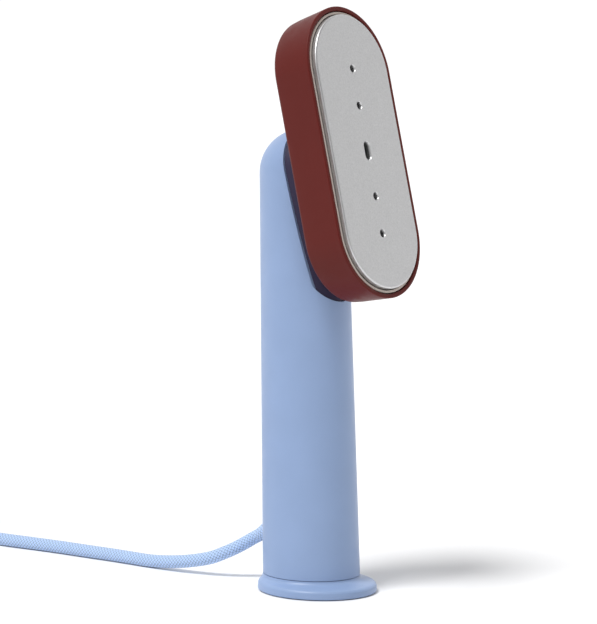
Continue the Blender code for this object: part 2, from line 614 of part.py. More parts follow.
def make_wires():
    """Mains wires behind the tank, and the heater's wires through the neck."""
    wires = {
        "wire_live": (-3.0, -5.5, BROWN_WIRE),
        "wire_neutral": (0.0, 0.0, BLUE_WIRE),
    }
    for name, (x0, x, look) in wires.items():
        route = [in_handle(x0, 13.0, 26.4), in_handle(x0, 13.2, 31), in_handle(x, 14.8, 38),
                 in_handle(x, 15.6, 48), in_handle(x, 15.6, 75), in_handle(x, 15.6, 98),
                 in_handle(x, 15.2, 106), in_handle(x, 12.5, 113), in_handle(x, 11.0, 117.5)]
        tube(name, smooth_path(route, 8 * MM), 1.1 * MM, look)
    for side, name in ((-1, "heater_wire_live"), (1, "heater_wire_neutral")):
        route = [in_handle(side * 9.5, 13.6, 168), in_handle(side * 9.5, 14.2, 180),
                 in_handle(side * 10, 12.5, 189), in_handle(side * 8.5, 6, 194),
                 in_head(side * 4.4, -6, 31), in_head(side * 4.4, -5, 25),
                 in_head(side * 4.8, -4, 20), in_head(side * 8, 2, 16.8),
                 in_head(side * 13, 12, 16.4), in_head(side * 17.5, 26, 18.4),
                 in_head(side * 19, 34.5, 19.6)]
        tube(name, smooth_path(route, 6 * MM), 0.9 * MM, BROWN_WIRE if side < 0 else BLUE_WIRE)
    route = [in_handle(3, 13.0, 26.4), in_handle(3, 13.2, 31), in_handle(5.5, 14.8, 38),
             in_handle(5.5, 15.6, 48), in_handle(5.5, 15.6, 75), in_handle(5.5, 15.6, 98),
             in_handle(8, 15.4, 106), in_handle(12.5, 12.8, 112), in_handle(15.6, 9.5, 119),
             in_handle(16.4, 6, 128), in_handle(16.4, 3, 140), in_handle(16, 3, 160),
             in_handle(15.5, 2.5, 176), in_handle(12, 0, 190), in_head(1, -9, 30),
             in_head(0, -9, 24), in_head(0, -8, 17), in_head(0, -6, 13)]
    tube("wire_earth", smooth_path(route, 8 * MM), 1.1 * MM, YELLOW_WIRE)


# ---------------------------------------------------------------- cord

BOOT_TURN = (-RIGHT - BOOT_DROP, 0.0, 0.0)    # turns +Z to the strain relief's outward axis


def boot_collar():
    return rod("boot_collar", 7.4 * MM, -8.6 * MM, -4.0 * MM, None, steps=24, location=BOOT_EXIT,
               rotation=BOOT_TURN)


def boot_bore():
    return rod("boot_bore", 5.5 * MM, -15 * MM, 15 * MM, None, steps=24, location=BOOT_EXIT,
               rotation=BOOT_TURN)


def make_strain_relief():
    """Tapered sleeve through the wall, kept in by a flange inside the handle."""
    profile = [(0, BOOT_OUT), (3.7 * MM, BOOT_OUT), (4.0 * MM, BOOT_OUT - 2.0 * MM),
               (5.2 * MM, 0.0), (5.2 * MM, -8.9 * MM), (7.0 * MM, -8.9 * MM),
               (7.0 * MM, -BOOT_IN), (0, -BOOT_IN)]
    turned("strain_relief", profile, LIGHT_BLUE, steps=24, location=BOOT_EXIT,
           rotation=BOOT_TURN)


def make_cord():
    start = BOOT_EXIT + boot_axis() * (BOOT_OUT + GAP)
    line = smooth_path([start, *(Vector(p) * MM for p in CORD_ROUTE)], 2.2 * CORD_D)
    line.insert(1, start + boot_axis() * 2 * MM)
    outer = COIL_MID_R + CORD_D * COIL_COLUMNS / 2
    reach = outer + GAP + CORD_D / 2
    outside = [p for p in line if (p - COIL_CENTRE).to_2d().length > reach]
    tube("cord_tube", outside, CORD_D / 2, BLUE_BRAID)
    inner = COIL_MID_R - CORD_D * COIL_COLUMNS / 2
    low, high, soft = COIL_BASE, COIL_BASE + CORD_D * COIL_LAYERS, 2.0 * MM
    profile = [(outer - soft, high), (outer, high - soft), (outer, low + soft),
               (outer - soft, low), (inner + soft, low), (inner, low + soft),
               (inner, high - soft), (inner + soft, high)]
    turned("cord_coil", profile, BLUE_BRAID, steps=SEGMENTS, ring=True, location=COIL_CENTRE)
    clear = high + GAP + CORD_D / 2
    tail = smooth_path([COIL_CENTRE + Vector(p) * MM for p in TAIL_ROUTE], 5 * MM)
    tube("cord_tail", [p for p in tail if p.z > clear], CORD_D / 2, BLUE_BRAID)


def boot_axis():
    return Vector((0.0, math.cos(BOOT_DROP), -math.sin(BOOT_DROP)))


def make_cord_tie():
    """Hook-and-loop strap round the side of the coil that faces the steamer."""
    outer = COIL_MID_R + CORD_D * COIL_COLUMNS / 2 + GAP
    inner = COIL_MID_R - CORD_D * COIL_COLUMNS / 2 - 1.1 * MM
    low, high = COIL_BASE - GAP, COIL_BASE + CORD_D * COIL_LAYERS + GAP
    bm = bmesh.new()
    bmesh.ops.create_cube(bm, size=1.0)
    ends = [f for f in bm.faces if abs(f.normal.y) > 0.5]
    bmesh.ops.delete(bm, geom=ends, context="FACES_ONLY")
    bmesh.ops.scale(bm, vec=(outer - inner, 12 * MM, high - low), verts=bm.verts)
    strap = from_bmesh("cord_tie", bm, DARK_BLUE, rotation=(0, 0, RIGHT),
                       location=COIL_CENTRE + Vector((0, -(outer + inner) / 2, (low + high) / 2)))
    thick = strap.modifiers.new("thickness", "SOLIDIFY")
    thick.thickness = 1.1 * MM
    thick.offset = 1.0
    thick.use_even_offset = True


PLUG_HALF_HEIGHT = 11.0 * MM
PLUG_AXIS_Z = COIL_BASE + CORD_D * COIL_LAYERS + GAP + PLUG_HALF_HEIGHT
PLUG_START = COIL_CENTRE + Vector((-13.4 * MM, 29.0 * MM, PLUG_AXIS_Z))
PLUG_TURN = (0, RIGHT, 0)
PIN_SPACING = 19.0 * MM


def make_plug():
    """Two-pin mains plug that lies on the coil's far side."""
    turned("plug_boot", [(0, 13.6 * MM), (6.0 * MM, 13.6 * MM), (5.6 * MM, 9 * MM),
                         (4.2 * MM, 0.4 * MM), (3.9 * MM, 0), (0, 0)], WHITE_PLASTIC, steps=24,
           location=PLUG_START, rotation=PLUG_TURN)
    body = [(0, 41.0), (10.2, 41.0), (11.0, 40.2), (11.0, 33), (8.6, 15.4), (7.4, 14.0), (0, 14.0)]
    plug = racetrack("plug_body", [(r * MM, z * MM) for r, z in body], 7.0 * MM, WHITE_PLASTIC,
                     steps=10, location=PLUG_START, rotation=PLUG_TURN)
    pin = [(0, 60.0), (1.6, 60.0), (2.4, 59.0), (2.4, 34.0), (0, 34.0)]
    for number, side in enumerate((-0.5, 0.5), 1):
        at = PLUG_START + Vector((0, side * PIN_SPACING, 0))
        boolean(plug, rod(f"pin_bore_{number}", 2.7 * MM, 33.6 * MM, 45 * MM, None, steps=16,
                          location=at, rotation=PLUG_TURN))
        turned(f"plug_pin_{number}", [(r * MM, z * MM) for r, z in pin], BRASS, steps=16,
               location=at, rotation=PLUG_TURN)


# ---------------------------------------------------------------- build

clear_scene()
parts = new_collection("garment_steamer")
cutters = new_collection("cutters")

LIGHT_BLUE = new_material("light_blue_plastic", (0.33, 0.44, 0.66), 0.45)
DARK_BLUE = new_material("dark_blue_plastic", (0.06, 0.09, 0.2), 0.5)
BURGUNDY = new_material("burgundy_plastic", (0.13, 0.03, 0.025), 0.4)
ALUMINIUM = new_material("brushed_aluminium", (0.6, 0.6, 0.6), 0.35, 1.0)
BEIGE = new_material("beige_silicone", (0.55, 0.47, 0.42), 0.6)
SILICONE = new_material("clear_silicone", (0.7, 0.7, 0.68), 0.4)
STEEL = new_material("steel", (0.55, 0.55, 0.56), 0.3, 1.0)
BRASS = new_material("nickel_plated_brass", (0.6, 0.58, 0.52), 0.25, 1.0)
BLACK = new_material("black_plastic", (0.03, 0.03, 0.03), 0.5)
GREY_PLASTIC = new_material("grey_plastic", (0.3, 0.3, 0.31), 0.5)
WHITE_PLASTIC = new_material("white_plastic", (0.7, 0.7, 0.7), 0.4)
CLEAR = new_material("clear_plastic", (0.75, 0.8, 0.85), 0.1)
RUBBER = new_material("rubber", (0.05, 0.05, 0.06), 0.8)
BOARD_GREEN = new_material("circuit_board_green", (0.02, 0.15, 0.06), 0.4)
BLUE_BRAID = new_material("blue_textile_braid", (0.4, 0.53, 0.72), 0.85)
BROWN_WIRE = new_material("brown_wire", (0.15, 0.06, 0.03), 0.5)
BLUE_WIRE = new_material("blue_wire", (0.04, 0.1, 0.4), 0.5)
YELLOW_WIRE = new_material("yellow_green_wire", (0.5, 0.55, 0.05), 0.5)

handle = new_empty("handle_axis", (0, 0, SEAM_Z), (-LEAN, 0, 0))
tank_axis = new_empty("tank_slide_axis", (0, 0, SEAM_Z), (-LEAN, 0, 0))
tank_floor = new_empty("tank_floor", (0, 0, 0))
lid_axis = new_empty("tank_lid_axis", (0, 0, SEAM_Z), (-LEAN, 0, 0))
head = new_empty("head_centre", HEAD_CENTRE, (RIGHT - TILT, 0, 0))

make_body_shell()
make_neck()
make_buttons()
make_chassis()
make_pump()
make_board()
make_dip_tube()
make_tank()
make_tank_lid()
make_foot()
make_head_shell()
make_seal_ring()
make_insulating_frame()
make_soleplate()
make_heater()
make_thermal_parts()
make_hose()
make_wires()
make_strain_relief()
make_cord()
make_cord_tie()
make_plug()
bpy.context.view_layer.update()
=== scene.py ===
"""Looks of the garment steamer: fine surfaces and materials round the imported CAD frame."""

import math

import bmesh
import bpy
from mathutils import Matrix, Vector


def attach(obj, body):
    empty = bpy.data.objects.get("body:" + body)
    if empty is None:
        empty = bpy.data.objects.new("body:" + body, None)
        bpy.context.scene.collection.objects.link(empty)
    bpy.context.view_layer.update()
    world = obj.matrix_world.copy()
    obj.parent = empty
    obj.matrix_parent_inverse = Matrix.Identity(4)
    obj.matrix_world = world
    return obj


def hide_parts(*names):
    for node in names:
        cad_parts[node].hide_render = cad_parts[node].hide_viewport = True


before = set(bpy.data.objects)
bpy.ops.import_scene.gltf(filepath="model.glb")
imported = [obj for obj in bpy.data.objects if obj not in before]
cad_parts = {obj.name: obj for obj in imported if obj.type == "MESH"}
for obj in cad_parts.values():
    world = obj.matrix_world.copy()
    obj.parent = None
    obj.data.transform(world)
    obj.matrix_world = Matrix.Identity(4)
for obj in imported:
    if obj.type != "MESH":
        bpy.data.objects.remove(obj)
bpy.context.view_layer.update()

MM = 0.001
RIGHT = math.radians(90)
GAP = 0.3 * MM

# Driving dimensions, the same as the CAD's
SEAM_Z = 8.2 * MM
LEAN = math.radians(3.16)
HANDLE_R0 = 24.0 * MM
HANDLE_R1 = 21.45 * MM
HANDLE_LENGTH = 197.5 * MM
WALL = 2.2 * MM
HEAD_CENTRE = Vector((0.0, -26.4, 216.9)) * MM
TILT = math.radians(14.7)
HEAD_STRAIGHT = 39.6 * MM
HEAD_R = 32.25 * MM
HEAD_R_BACK = 30.3 * MM
HEAD_DEPTH = 23.3 * MM
RIM = 2.2 * MM
PLATE_R = 27.9 * MM
PLATE_PROUD = 1.9 * MM
HOLES_V = (-40.5 * MM, -22.3 * MM, 22.3 * MM, 40.5 * MM)
SEAT_DEPTH = 34.2 * MM
SEAT_END_R = 17.0 * MM
SEAT_END_V = -51.0 * MM
FOOT_Y = -3.85 * MM
CORD_D = 6.6 * MM
BOOT_EXIT = Vector((0.0, 24.8, 27.7)) * MM
BOOT_DROP = math.radians(30)
BOOT_OUT = 10.8 * MM
COIL_CENTRE = Vector((-15.3, 280.0, 0.0)) * MM
COIL_MID_R = 37.6 * MM
COIL_BASE = 1.7 * MM
COIL_COLUMNS = 3
COIL_LAYERS = 3
POWER_Z = 122.0 * MM
POWER_R = 4.5 * MM
STEAM_Z = 156.0 * MM
STEAM_R = 5.6 * MM
STEAM_STRAIGHT = 5.5 * MM
LIGHT_Z = 135.0 * MM

# Places: the handle's axis, the head's face, out of the handle's back, out along the cord
HANDLE_MATRIX = Matrix.Translation((0.0, 0.0, SEAM_Z)) @ Matrix.Rotation(-LEAN, 4, "X")
HEAD_MATRIX = Matrix.Translation(HEAD_CENTRE) @ Matrix.Rotation(RIGHT - TILT, 4, "X")
BACK_MATRIX = HANDLE_MATRIX @ Matrix.Rotation(-RIGHT, 4, "X")
BOOT_MATRIX = Matrix.Translation(BOOT_EXIT) @ Matrix.Rotation(-RIGHT - BOOT_DROP, 4, "X")


# The photograph's viewpoint, from a fit of the steamer's outline
CAMERA_PLACE = (-1.01872, -0.79154, 0.25464)
CAMERA_RIGHT = (0.62073, -0.78369, 0.02290)
CAMERA_BACK = (-0.78195, -0.61671, 0.09068)
CAMERA_LENS = 152.5
CAMERA_SENSOR = 36.0
CAMERA_CLIP = (0.05, 50.0)

# The studio: the side with the lit background, where it fades, and how bright it and the rest are
FLOOR_REACH = 40.0
ROOM_LIT_SIDE = (0.75, 0.6, -0.28)
ROOM_FADE = (-0.15, 0.35)
ROOM_DIM = 0.37
ROOM_BRIGHT = 1.05
KEY_FROM = (-0.465, 0.06, 0.88)
KEY_STRENGTH = 2.5
KEY_SOFTNESS = math.radians(20)


# ---------------------------------------------------------------- camera, floor and light

def make_camera():
    data = bpy.data.cameras.new("camera")
    data.lens = CAMERA_LENS
    data.sensor_width = CAMERA_SENSOR
    data.clip_start, data.clip_end = CAMERA_CLIP
    camera = bpy.data.objects.new("camera", data)
    back = Vector(CAMERA_BACK).normalized()
    up = back.cross(Vector(CAMERA_RIGHT)).normalized()
    right = up.cross(back)
    turn = Matrix((right, up, back)).transposed().to_4x4()
    camera.matrix_world = Matrix.Translation(CAMERA_PLACE) @ turn
    bpy.context.scene.collection.objects.link(camera)
    bpy.context.scene.camera = camera


def make_floor():
    """White paper laid far enough out to reach the picture's white background."""
    mesh = bpy.data.meshes.new("floor")
    signs = ((-1, -1), (1, -1), (1, 1), (-1, 1))
    mesh.from_pydata([(x * FLOOR_REACH, y * FLOOR_REACH, 0) for x, y in signs], [],
                     [(0, 1, 2, 3)])
    floor = bpy.data.objects.new("floor", mesh)
    bpy.context.scene.collection.objects.link(floor)
    paper = Look("floor_paper", (0.9, 0.9, 0.905), 0.95)
    paper.set("Specular IOR Level", 0.1)
    paper.bump(paper.noise(500.0), 0.00003, 0.3)
    mesh.materials.append(paper.material)


def make_key():
    """One large soft light, up on the camera's left."""
    data = bpy.data.lights.new("key", "SUN")
    data.energy = KEY_STRENGTH
    data.angle = KEY_SOFTNESS
    light = bpy.data.objects.new("key", data)
    light.rotation_euler = Vector(KEY_FROM).to_track_quat("Z", "Y").to_euler()
    bpy.context.scene.collection.objects.link(light)


def make_world():
    """A lit white background behind the steamer, and a dimmer room behind the camera."""
    world = bpy.data.worlds.new("studio")
    bpy.context.scene.world = world
    world.use_nodes = True
    tree = world.node_tree
    background = tree.nodes["Background"]
    place = tree.nodes.new("ShaderNodeTexCoord")
    split = tree.nodes.new("ShaderNodeVectorMath")
    split.operation = "DOT_PRODUCT"
    split.inputs[1].default_value = ROOM_LIT_SIDE
    tree.links.new(place.outputs["Generated"], split.inputs[0])
    ramp = tree.nodes.new("ShaderNodeMapRange")
    limits = (*ROOM_FADE, ROOM_DIM, ROOM_BRIGHT)
    for socket, value in zip(("From Min", "From Max", "To Min", "To Max"), limits):
        ramp.inputs[socket].default_value = value
    tree.links.new(split.outputs["Value"], ramp.inputs["Value"])
    tree.links.new(ramp.outputs[0], background.inputs["Strength"])
    background.inputs["Color"].default_value = (1, 1, 1, 1)


def make_light():
    make_world()
    make_key()
    bpy.context.scene.view_settings.view_transform = "Standard"


# ---------------------------------------------------------------- mesh helpers

def link(obj):
    bpy.context.scene.collection.objects.link(obj)
    return obj


def in_mm(*pairs):
    """Profile points given in millimetres, in metres."""
    return [(r * MM, z * MM) for r, z in pairs]


def plain(radius, top, bottom):
    """Profile of a straight-sided cutter."""
    return [(0, top), (radius, top), (radius, bottom), (0, bottom)]


def on_back(height):
    """Place on the handle's back at a height along the handle."""
    return BACK_MATRIX @ Matrix.Translation((0, -height, 0))


def on_head(v):
    """Place on the head's face, v along its length from the centre."""
    return HEAD_MATRIX @ Matrix.Translation((0, v, 0))


def circle(steps):
    return [2 * math.pi * k / steps for k in range(steps)]


def skin(bm, loops):
    """Faces between the loops and over the last one."""
    count = len(loops[0])
    for upper, lower in zip(loops, loops[1:]):
        for j in range(count):
            n = (j + 1) % count
            bm.faces.new((upper[j], lower[j], lower[n], upper[n]))
    bm.faces.new(loops[-1])


def from_bmesh(name, bm, matrix=None):
    """An object with its place in its mesh, as the frame's nodes have theirs."""
    if matrix is not None:
        bm.transform(matrix)
    bmesh.ops.recalc_face_normals(bm, faces=bm.faces)
    if bm.calc_volume(signed=True) < 0:
        bmesh.ops.reverse_faces(bm, faces=bm.faces)
    mesh = bpy.data.meshes.new(name)
    bm.to_mesh(mesh)
    bm.free()
    return link(bpy.data.objects.new(name, mesh))


def revolve(name, profile, steps=128, matrix=None):
    """A solid turned about +Z from (radius, height) pairs; ends at radius 0 are flat caps."""
    bm = bmesh.new()
    verts = [bm.verts.new((r, 0.0, z)) for r, z in profile if r > 0]
    edges = [bm.edges.new(pair) for pair in zip(verts, verts[1:])]
    if profile[0][0] > 0:
        edges.append(bm.edges.new((verts[-1], verts[0])))
    bmesh.ops.spin(bm, geom=verts + edges, cent=(0, 0, 0), axis=(0, 0, 1), angle=2 * math.pi,
                   steps=steps)
    bmesh.ops.remove_doubles(bm, verts=bm.verts, dist=0.000002)
    bmesh.ops.holes_fill(bm, edges=[e for e in bm.edges if e.is_boundary], sides=0)
    return from_bmesh(name, bm, matrix)


def racetrack(name, profile, straight, steps=48, matrix=None):
    """The same, swept round a stadium with straight sides along Y."""
    bm = bmesh.new()
    verts = [bm.verts.new((r, -straight, z)) for r, z in profile if r > 0]
    edges = [bm.edges.new(pair) for pair in zip(verts, verts[1:])]
    if profile[0][0] > 0:
        edges.append(bm.edges.new((verts[-1], verts[0])))
    for side in (1.0, -1.0):
        grown = bmesh.ops.extrude_edge_only(bm, edges=edges)["geom"]
        moved = [g for g in grown if isinstance(g, bmesh.types.BMVert)]
        edges = [g for g in grown if isinstance(g, bmesh.types.BMEdge)]
        bmesh.ops.translate(bm, verts=moved, vec=(0.0, 2.0 * side * straight, 0.0))
        swept = bmesh.ops.spin(bm, geom=moved + edges, cent=(0.0, side * straight, 0.0),
                               axis=(0.0, 0.0, 1.0), angle=math.pi, steps=steps)["geom_last"]
        edges = [g for g in swept if isinstance(g, bmesh.types.BMEdge)]
    bmesh.ops.remove_doubles(bm, verts=bm.verts, dist=0.000002)
    bmesh.ops.holes_fill(bm, edges=[e for e in bm.edges if e.is_boundary], sides=0)
    return from_bmesh(name, bm, matrix)


def prism(name, outline, z0, z1, matrix=None):
    """An outline in X and Y made solid between two heights."""
    bm = bmesh.new()
    face = bm.faces.new([bm.verts.new((x, y, z0)) for x, y in outline])
    top = bmesh.ops.extrude_face_region(bm, geom=[face])["geom"]
    moved = [g for g in top if isinstance(g, bmesh.types.BMVert)]
    bmesh.ops.translate(bm, verts=moved, vec=(0.0, 0.0, z1 - z0))
    return from_bmesh(name, bm, matrix)


def block(name, size, centre=(0, 0, 0), matrix=None):
    bm = bmesh.new()
    bmesh.ops.create_cube(bm, size=1.0)
    bmesh.ops.scale(bm, vec=size, verts=bm.verts)
    bmesh.ops.translate(bm, vec=centre, verts=bm.verts)
    return from_bmesh(name, bm, matrix)


def combine(obj, tool, operation="DIFFERENCE"):
    """Boolean at once, and the tool removed."""
    modifier = obj.modifiers.new(operation, "BOOLEAN")
    modifier.operation = operation
    modifier.object = tool
    bake(obj)
    bpy.data.objects.remove(tool, do_unlink=True)
    return obj


def bake(obj):
    """The object's modifiers made part of its mesh."""
    evaluated = obj.evaluated_get(bpy.context.evaluated_depsgraph_get())
    mesh = bpy.data.meshes.new_from_object(evaluated)
    obj.modifiers.clear()
    old, obj.data = obj.data, mesh
    bpy.data.meshes.remove(old)


def soften(obj, width, segments=3, angle=35):
    """Small rounds on the sharp edges, as a mould leaves them."""
    weld = obj.modifiers.new("weld", "WELD")
    weld.merge_threshold = 0.00001
    rounded = obj.modifiers.new("rounds", "BEVEL")
    rounded.width = width
    rounded.segments = segments
    rounded.limit_method = "ANGLE"
    rounded.angle_limit = math.radians(angle)
    rounded.miter_outer = "MITER_ARC"
    bake(obj)


def dress(obj, look, body, slot, *nodes, smooth=40):
    """Finish a piece: shading, material, the body it rides on, and the CAD nodes it stands in for
    hidden.
    """
    obj.data.shade_smooth()
    obj.data.set_sharp_from_angle(angle=math.radians(smooth))
    flat = obj.modifiers.new("flat_faces_stay_flat", "WEIGHTED_NORMAL")
    flat.keep_sharp = True
    bake(obj)
    obj.data.materials.clear()
    obj.data.materials.append(look)
    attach(obj, body)
    if nodes:
        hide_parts(*nodes)
    return obj


def curve_through(points, spacing):
    """Evenly spaced points on a smooth (Catmull-Rom) curve through the given ones."""
    ends = [2 * points[0] - points[1], *points, 2 * points[-1] - points[-2]]
    fine = []
    for a, b, c, d in zip(ends, ends[1:], ends[2:], ends[3:]):
        for k in range(24):
            t = k / 24
            fine.append(0.5 * (2 * b + (c - a) * t + (2 * a - 5 * b + 4 * c - d) * t ** 2
                               + (3 * b - a - 3 * c + d) * t ** 3))
    fine.append(points[-1])
    return evenly(fine, spacing)


def evenly(line, spacing):
    """The line's points moved to even spacing along it."""
    total = sum((b - a).length for a, b in zip(line, line[1:]))
    count = max(2, round(total / spacing))
    step, out, walked = total / count, [line[0]], 0.0
    for a, b in zip(line, line[1:]):
        length = (b - a).length
        while len(out) < count and walked + length >= step * len(out):
            out.append(a.lerp(b, (step * len(out) - walked) / length))
        walked += length
    return [*out, line[-1]]


def tube(name, path, radii, sides=20):
    """A closed round tube with UVs: U is the length in metres, V goes once round."""
    bm = bmesh.new()
    uv = bm.loops.layers.uv.new("UVMap")
    side = Vector((0, 0, 1)).cross(path[1] - path[0]).normalized()
    rings, along, walked = [], [], 0.0
    for k, (point, radius) in enumerate(zip(path, radii)):
        ahead = (path[min(k + 1, len(path) - 1)] - path[max(k - 1, 0)]).normalized()
        side = (side - side.dot(ahead) * ahead).normalized()
        other = ahead.cross(side)
        if k:
            walked += (point - path[k - 1]).length
        along.append(walked)
        rings.append([bm.verts.new(point + radius * (math.cos(a) * side + math.sin(a) * other))
                      for a in circle(sides)])
    for k in range(len(rings) - 1):
        for j in range(sides):
            n = (j + 1) % sides
            face = bm.faces.new((rings[k][j], rings[k][n], rings[k + 1][n], rings[k + 1][j]))
            spots = ((along[k], j), (along[k], j + 1), (along[k + 1], j + 1), (along[k + 1], j))
            for loop, (u, v) in zip(face.loops, spots):
                loop[uv].uv = (u, v / sides)
    bm.faces.new(rings[0])
    bm.faces.new(rings[-1])
    return from_bmesh(name, bm)


# ---------------------------------------------------------------- materials

class Look:
    """A material and short-hands for its nodes."""

    def __init__(self, name, colour, roughness, metallic=0.0):
        self.material = bpy.data.materials.new(name)
        self.material.use_nodes = True
        self.tree = self.material.node_tree
        self.shader = self.tree.nodes["Principled BSDF"]
        self.set("Base Color", (*colour, 1.0))
        self.set("Roughness", roughness)
        self.set("Metallic", metallic)
        self.colour = colour
        self.place = self.node("ShaderNodeTexCoord").outputs["Object"]

    def set(self, socket, value):
        self.shader.inputs[socket].default_value = value

    def node(self, kind, **inputs):
        made = self.tree.nodes.new(kind)
        for key, value in inputs.items():
            self.feed(value, made.inputs[key.replace("_", " ")])
        return made

    def feed(self, value, socket):
        if isinstance(value, bpy.types.NodeSocket):
            self.tree.links.new(value, socket)
        else:
            socket.default_value = value

    def math(self, operation, a, b=0.0):
        made = self.tree.nodes.new("ShaderNodeMath")
        made.operation = operation
        self.feed(a, made.inputs[0])
        self.feed(b, made.inputs[1])
        return made.outputs[0]

    def noise(self, scale, detail=3.0, stretch=(1, 1, 1)):
        at = self.place
        if stretch != (1, 1, 1):
            at = self.node("ShaderNodeMapping", Vector=at, Scale=stretch).outputs[0]
        return self.node("ShaderNodeTexNoise", Vector=at, Scale=scale, Detail=detail).outputs[0]

    def spread(self, value, low, high, start=0.3, end=0.7):
        made = self.node("ShaderNodeMapRange", Value=value, From_Min=start, From_Max=end,
                         To_Min=low, To_Max=high)
        return made.outputs[0]

    def shades(self, value, *stops):
        """A colour ramp; each stop is a position and a factor on the base colour."""
        ramp = self.node("ShaderNodeValToRGB", Fac=value)
        for k, (at, factor) in enumerate(stops):
            points = ramp.color_ramp.elements
            stop = points[k] if k < 2 else points.new(at)
            stop.position = at
            stop.color = (*(min(1.0, c * factor) for c in self.colour), 1.0)
        self.feed(ramp.outputs[0], self.shader.inputs["Base Color"])

    def rough(self, value, low, high):
        self.feed(self.spread(value, low, high), self.shader.inputs["Roughness"])

    def bump(self, height, distance, strength=1.0):
        made = self.node("ShaderNodeBump", Height=height, Distance=distance, Strength=strength)
        last = self.shader.inputs["Normal"]
        if last.is_linked:
            self.feed(last.links[0].from_socket, made.inputs["Normal"])
        self.feed(made.outputs[0], last)


def moulded_plastic(name, colour, roughness, grain=2600.0, gloss=0.3):
    """Satin moulded plastic: spark-eroded grain, faint flow mottling, slightly uneven gloss."""
    look = Look(name, colour, roughness)
    look.set("Specular IOR Level", gloss)
    cloud = look.noise(45.0, 4.0)
    look.shades(cloud, (0.3, 0.975), (0.7, 1.025))
    look.rough(look.noise(160.0), roughness - 0.05, roughness + 0.06)
    look.bump(look.noise(grain, 2.0), 0.00002, 0.6)
    return look.material


def blasted_aluminium():
    """Bead-blasted and anodised: a fine sparkling grain over a soft sheen."""
    look = Look("blasted_aluminium", (0.64, 0.64, 0.645), 0.42, 1.0)
    fine = look.noise(1300.0, 4.0)
    look.shades(fine, (0.3, 0.92), (0.7, 1.05))
    look.rough(look.noise(700.0), 0.36, 0.5)
    look.bump(fine, 0.00002, 0.6)
    return look.material


def brushed_steel(name):
    """Fine lines along one direction."""
    look = Look(name, (0.55, 0.55, 0.56), 0.3, 1.0)
    lines = look.noise(120.0, 5.0, (30, 1, 1))
    look.shades(lines, (0.3, 0.85), (0.7, 1.08))
    look.rough(lines, 0.24, 0.4)
    look.bump(lines, 0.00001, 0.5)
    return look.material


def soft_rubber(name, colour, roughness=0.6):
    """Matt rubber or silicone with a fine moulded grain."""
    look = Look(name, colour, roughness)
    grain = look.noise(1500.0)
    look.shades(grain, (0.3, 0.94), (0.7, 1.06))
    look.rough(look.noise(90.0), roughness - 0.06, roughness + 0.1)
    look.bump(grain, 0.00002, 0.5)
    return look.material


def clear_plastic():
    """Smoky clear plastic of the water tank, with the faint waves of its mould."""
    look = Look("smoky_clear_plastic", (0.82, 0.87, 0.92), 0.08)
    look.set("Transmission Weight", 0.85)
    look.set("IOR", 1.49)
    look.rough(look.noise(70.0), 0.05, 0.14)
    look.bump(look.noise(60.0, 1.0), 0.0001, 0.25)
    return look.material


def circuit_laminate():
    """Green lacquer over copper tracks, the tracks drawn brighter."""
    look = Look("circuit_laminate", (0.02, 0.16, 0.07), 0.35)
    tracks = look.node("ShaderNodeTexWave", Vector=look.place, Scale=260.0, Distortion=6.0)
    look.shades(tracks.outputs[1], (0.4, 0.8), (0.6, 1.5))
    look.rough(look.noise(400.0), 0.28, 0.42)
    look.bump(tracks.outputs[1], 0.00003, 0.5)
    return look.material


def braid(name, colour, strands, pitch, dark=0.35):
    """Textile braid on the cord's UVs: two families of strands that cross over and under, with
    painted highlights on the strands' tops and painted shade in the hollows between them.
    """
    look = Look(name, colour, 0.85)
    look.set("Sheen Weight", 0.35)
    look.set("Sheen Roughness", 0.5)
    uv = look.node("ShaderNodeTexCoord").outputs["UV"]
    split = look.node("ShaderNodeSeparateXYZ", Vector=uv)
    along = look.math("MULTIPLY", split.outputs[0], 1.0 / pitch)
    around = look.math("MULTIPLY", split.outputs[1], float(strands))
    left = look.math("ADD", along, around)
    right = look.math("SUBTRACT", along, around)
    cells = look.math("ADD", look.math("FLOOR", left), look.math("FLOOR", right))
    over = look.math("PINGPONG", cells, 1.0)
    rise_left = look.math("SINE", look.math("MULTIPLY", look.math("FRACT", left), math.pi))
    rise_right = look.math("SINE", look.math("MULTIPLY", look.math("FRACT", right), math.pi))
    top = look.math("ADD", look.math("MULTIPLY", rise_left, over),
                    look.math("MULTIPLY", rise_right, look.math("SUBTRACT", 1.0, over)))
    yarn = look.node("ShaderNodeTexNoise", Vector=look.place, Scale=3500.0, Detail=2.0).outputs[0]
    height = look.math("ADD", top, look.math("MULTIPLY", yarn, 0.25))
    # Painted light: the strands' tops are painted up to 1.3 times brighter as a painted
    # highlight, and the hollows between them darker (dark) as painted shade.
    look.shades(height, (0.15, dark), (0.55, 0.95), (1.0, 1.3))
    look.rough(yarn, 0.75, 0.92)
    look.bump(height, 0.00022, 0.8)
    return look.material


def webbing(name, colour):
    """Hook-and-loop strap: short loops in rows, with painted highlights on the loops' tops and
    painted shade in the gaps between them.
    """
    look = Look(name, colour, 0.9)
    look.set("Sheen Weight", 0.4)
    cells = look.node("ShaderNodeTexVoronoi", Vector=look.place, Scale=1400.0).outputs[0]
    # Painted light: the loops' centres are painted lighter as a painted highlight and the gaps
    # between loops darker as painted shade, in step with the bump.
    look.shades(cells, (0.1, 1.3), (0.7, 0.55))
    look.rough(look.noise(600.0), 0.8, 0.95)
    look.bump(cells, 0.0002, -0.7)
    return look.material


def wire_jacket(name, colour):
    """Glossy insulation of a single wire."""
    look = Look(name, colour, 0.4)
    look.shades(look.noise(200.0), (0.3, 0.92), (0.7, 1.06))
    look.rough(look.noise(500.0), 0.32, 0.5)
    look.bump(look.noise(900.0), 0.00001, 0.5)
    return look.material


